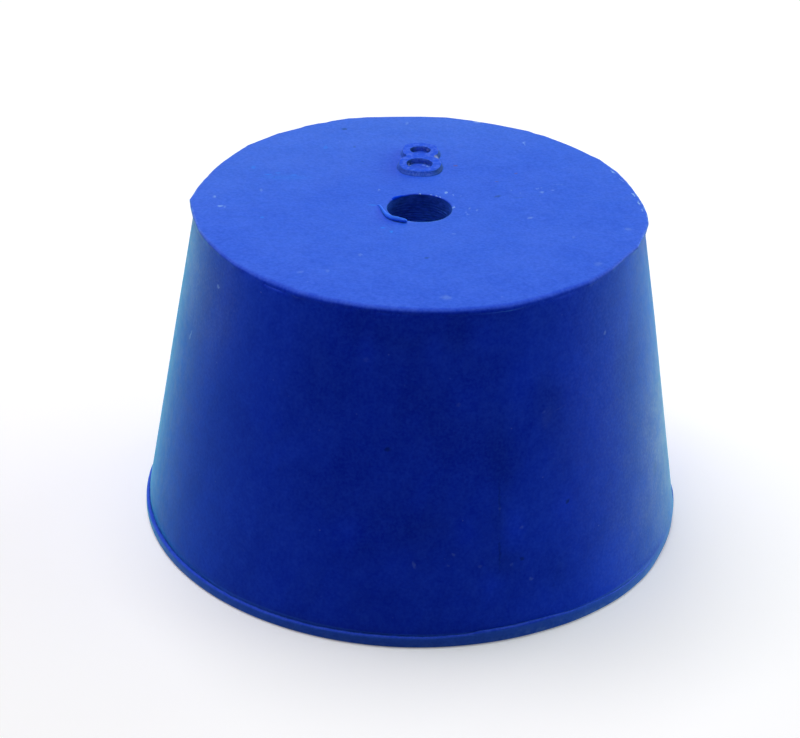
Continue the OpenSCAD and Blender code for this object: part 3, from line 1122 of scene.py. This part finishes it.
studio = {
    "floorHalfWidth": 3.0,
    "floorDrop": 0.02,         # gap under the stopper, in millimetres
    "floorAlbedo": 0.97,
    "floorGlow": 0.18,         # what a pale studio floor shows of the light that has already bounced off it
    "floorBounce": 0.46,       # what the floor gives back to matt surfaces
    "floorFades": (0.125, 0.3),    # how far out it starts to go over into the white of the surround, and has
    "surround": 0.085,         # light from all round on matt surfaces
    "lamps": [                 # name, azimuth, elevation, distance, size, watts, colour
        ("overhead", 130, 77, 0.34, 0.26, 0.95, (1, 1, 1)),
        ("left", 168, 12, 0.45, 0.26, 0.3, (1, 0.7, 1)),
        ("right", 0, 12, 0.45, 0.26, 0.47, (0.92, 1, 0.88)),
        ("behind", 35, 8, 0.45, 0.26, 1.0, (1, 1, 1)),
    ],
}


# One where a ray comes from the camera, from gloss or through glass, and zero where it is matt light
def seenDirectly(tree):
    rays = addNode(tree, "ShaderNodeLightPath")
    seen = mathNode(tree, "ADD", rays.outputs["Is Camera Ray"], rays.outputs["Is Glossy Ray"])
    seen = mathNode(tree, "ADD", seen, rays.outputs["Is Transmission Ray"])
    return mathNode(tree, "MINIMUM", seen, 1.0)


def grey(level):
    return (level, level, level, 1)


def makeFloor():
    reach = studio["floorHalfWidth"]
    mesh = bpy.data.meshes.new("floor")
    corners = [(-reach, -reach, 0), (reach, -reach, 0), (reach, reach, 0), (-reach, reach, 0)]
    mesh.from_pydata(corners, [], [(0, 1, 2, 3)])
    floor = bpy.data.objects.new("floor", mesh)
    floor.location.z = lowCorner.z - studio["floorDrop"] * millimetre
    bpy.context.scene.collection.objects.link(floor)
    material = bpy.data.materials.new("pale_floor")
    material.use_nodes = True
    tree = material.node_tree
    shader = tree.nodes["Principled BSDF"]
    shader.inputs["Roughness"].default_value = 1.0
    shader.inputs["Specular IOR Level"].default_value = 0.0
    seen = seenDirectly(tree)
    away = vectorNode(tree, "LENGTH", addNode(tree, "ShaderNodeTexCoord").outputs["Object"])["Value"]
    far = mapRange(tree, away, *studio["floorFades"])
    shown = mixColours(tree, far, grey(studio["floorAlbedo"]), grey(0))
    tree.links.new(mixColours(tree, seen, grey(studio["floorBounce"]), shown), shader.inputs["Base Color"])
    shader.inputs["Emission Color"].default_value = grey(1)
    glow = mapRange(tree, far, 0.0, 1.0, studio["floorGlow"], 1.0)
    tree.links.new(mathNode(tree, "MULTIPLY", seen, glow), shader.inputs["Emission Strength"])
    mesh.materials.append(material)


def makeSurround():
    world = bpy.data.worlds.new("surround")
    world.use_nodes = True
    tree = world.node_tree
    background = tree.nodes["Background"]
    strength = addNode(tree, "ShaderNodeMapRange")
    tree.links.new(seenDirectly(tree), strength.inputs["Value"])
    strength.inputs["To Min"].default_value = studio["surround"]
    strength.inputs["To Max"].default_value = 1.0
    background.inputs["Color"].default_value = grey(1)
    tree.links.new(strength.outputs[0], background.inputs["Strength"])
    bpy.context.scene.world = world


def makeLamps():
    aim = Vector((0, 0, height / 2 * millimetre))
    for name, azimuth, elevation, distance, size, watts, colour in studio["lamps"]:
        a = radians(azimuth)
        e = radians(elevation)
        lamp = bpy.data.lights.new(name, "AREA")
        lamp.size = size
        lamp.energy = watts
        lamp.color = colour
        holder = bpy.data.objects.new(name, lamp)
        towards = Vector((cos(a) * cos(e), sin(a) * cos(e), sin(e)))
        holder.location = aim + towards * distance
        holder.rotation_euler = towards.to_track_quat("Z", "Y").to_euler()
        bpy.context.scene.collection.objects.link(holder)


view = {
    "frame": (800, 738),       # width and height of the render
    "focal": 2390,             # focal length in pixels of that render
    "elevation": 29.27,
    "roll": 1.63,
    "distance": 181.5,         # along the view, to the middle of the stopper, in millimetres
    "middleAt": (414.8, 354.4),    # where the middle of the stopper falls in the render
    "sensor": 36.0,
    "clip": (0.01, 20),
}


def makeCamera():
    e = radians(view["elevation"])
    roll = radians(view["roll"])
    ahead = Vector((0, cos(e), -sin(e)))
    level = Vector((1, 0, 0))
    upright = level.cross(ahead)
    right = cos(roll) * level + sin(roll) * upright
    up = cos(roll) * upright - sin(roll) * level
    offRight = (view["middleAt"][0] - view["frame"][0] / 2) / view["focal"]
    offUp = (view["frame"][1] / 2 - view["middleAt"][1]) / view["focal"]
    middle = Vector((0, 0, height / 2))
    eye = middle - view["distance"] * (ahead + offRight * right + offUp * up)
    lens = bpy.data.cameras.new("camera")
    lens.sensor_width = view["sensor"]
    lens.lens = view["focal"] / view["frame"][0] * view["sensor"]
    lens.clip_start, lens.clip_end = view["clip"]
    camera = bpy.data.objects.new("camera", lens)
    turned = Matrix((right, up, -ahead)).transposed().to_4x4()
    camera.matrix_world = Matrix.Translation(eye * millimetre) @ turned
    bpy.context.scene.collection.objects.link(camera)
    bpy.context.scene.camera = camera


# All the rubber is one closed piece
stopper = makeMoulding()
print("moulding made:", len(stopper.data.polygons), "faces")
number = makeSizeNumber()
print("size number raised:", len(number.data.polygons), "faces")
burr = makeCurl("burr")
lip = makeCurl("lip")
print("torn edge curled:", len(burr.data.polygons) + len(lip.data.polygons), "faces")
finishes = {"skin": makeRubber(), "torn": makeTornRubber(), "bore": makeBoreRubber(),
            "number": makeNumberRubber(), "thin": makeThinRubber()}
print("finishes mixed:", len(finishes))
for piece in (stopper, number, burr, lip):
    for finish in finishOrder:
        piece.data.materials.append(finishes[finish])
for piece, finish in ((number, "number"), (burr, "torn"), (lip, "thin")):
    for polygon in piece.data.polygons:
        polygon.material_index = finishOrder.index(finish)
combine(stopper, "UNION", [number, burr, lip])
stopper.data.transform(Matrix.Scale(millimetre, 4))
for polygon in stopper.data.polygons:
    polygon.use_smooth = True
sharpFrom = 32                 # degrees between faces at which an edge stays sharp
stopper.data.set_sharp_from_angle(angle=radians(sharpFrom))
print("number and torn edge fused to the moulding:", len(stopper.data.polygons), "faces")

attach(stopper, "root")
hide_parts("stopper")

makeFloor()
makeSurround()
makeLamps()
makeCamera()
bpy.context.scene.view_settings.view_transform = "Standard"
print("stage set")
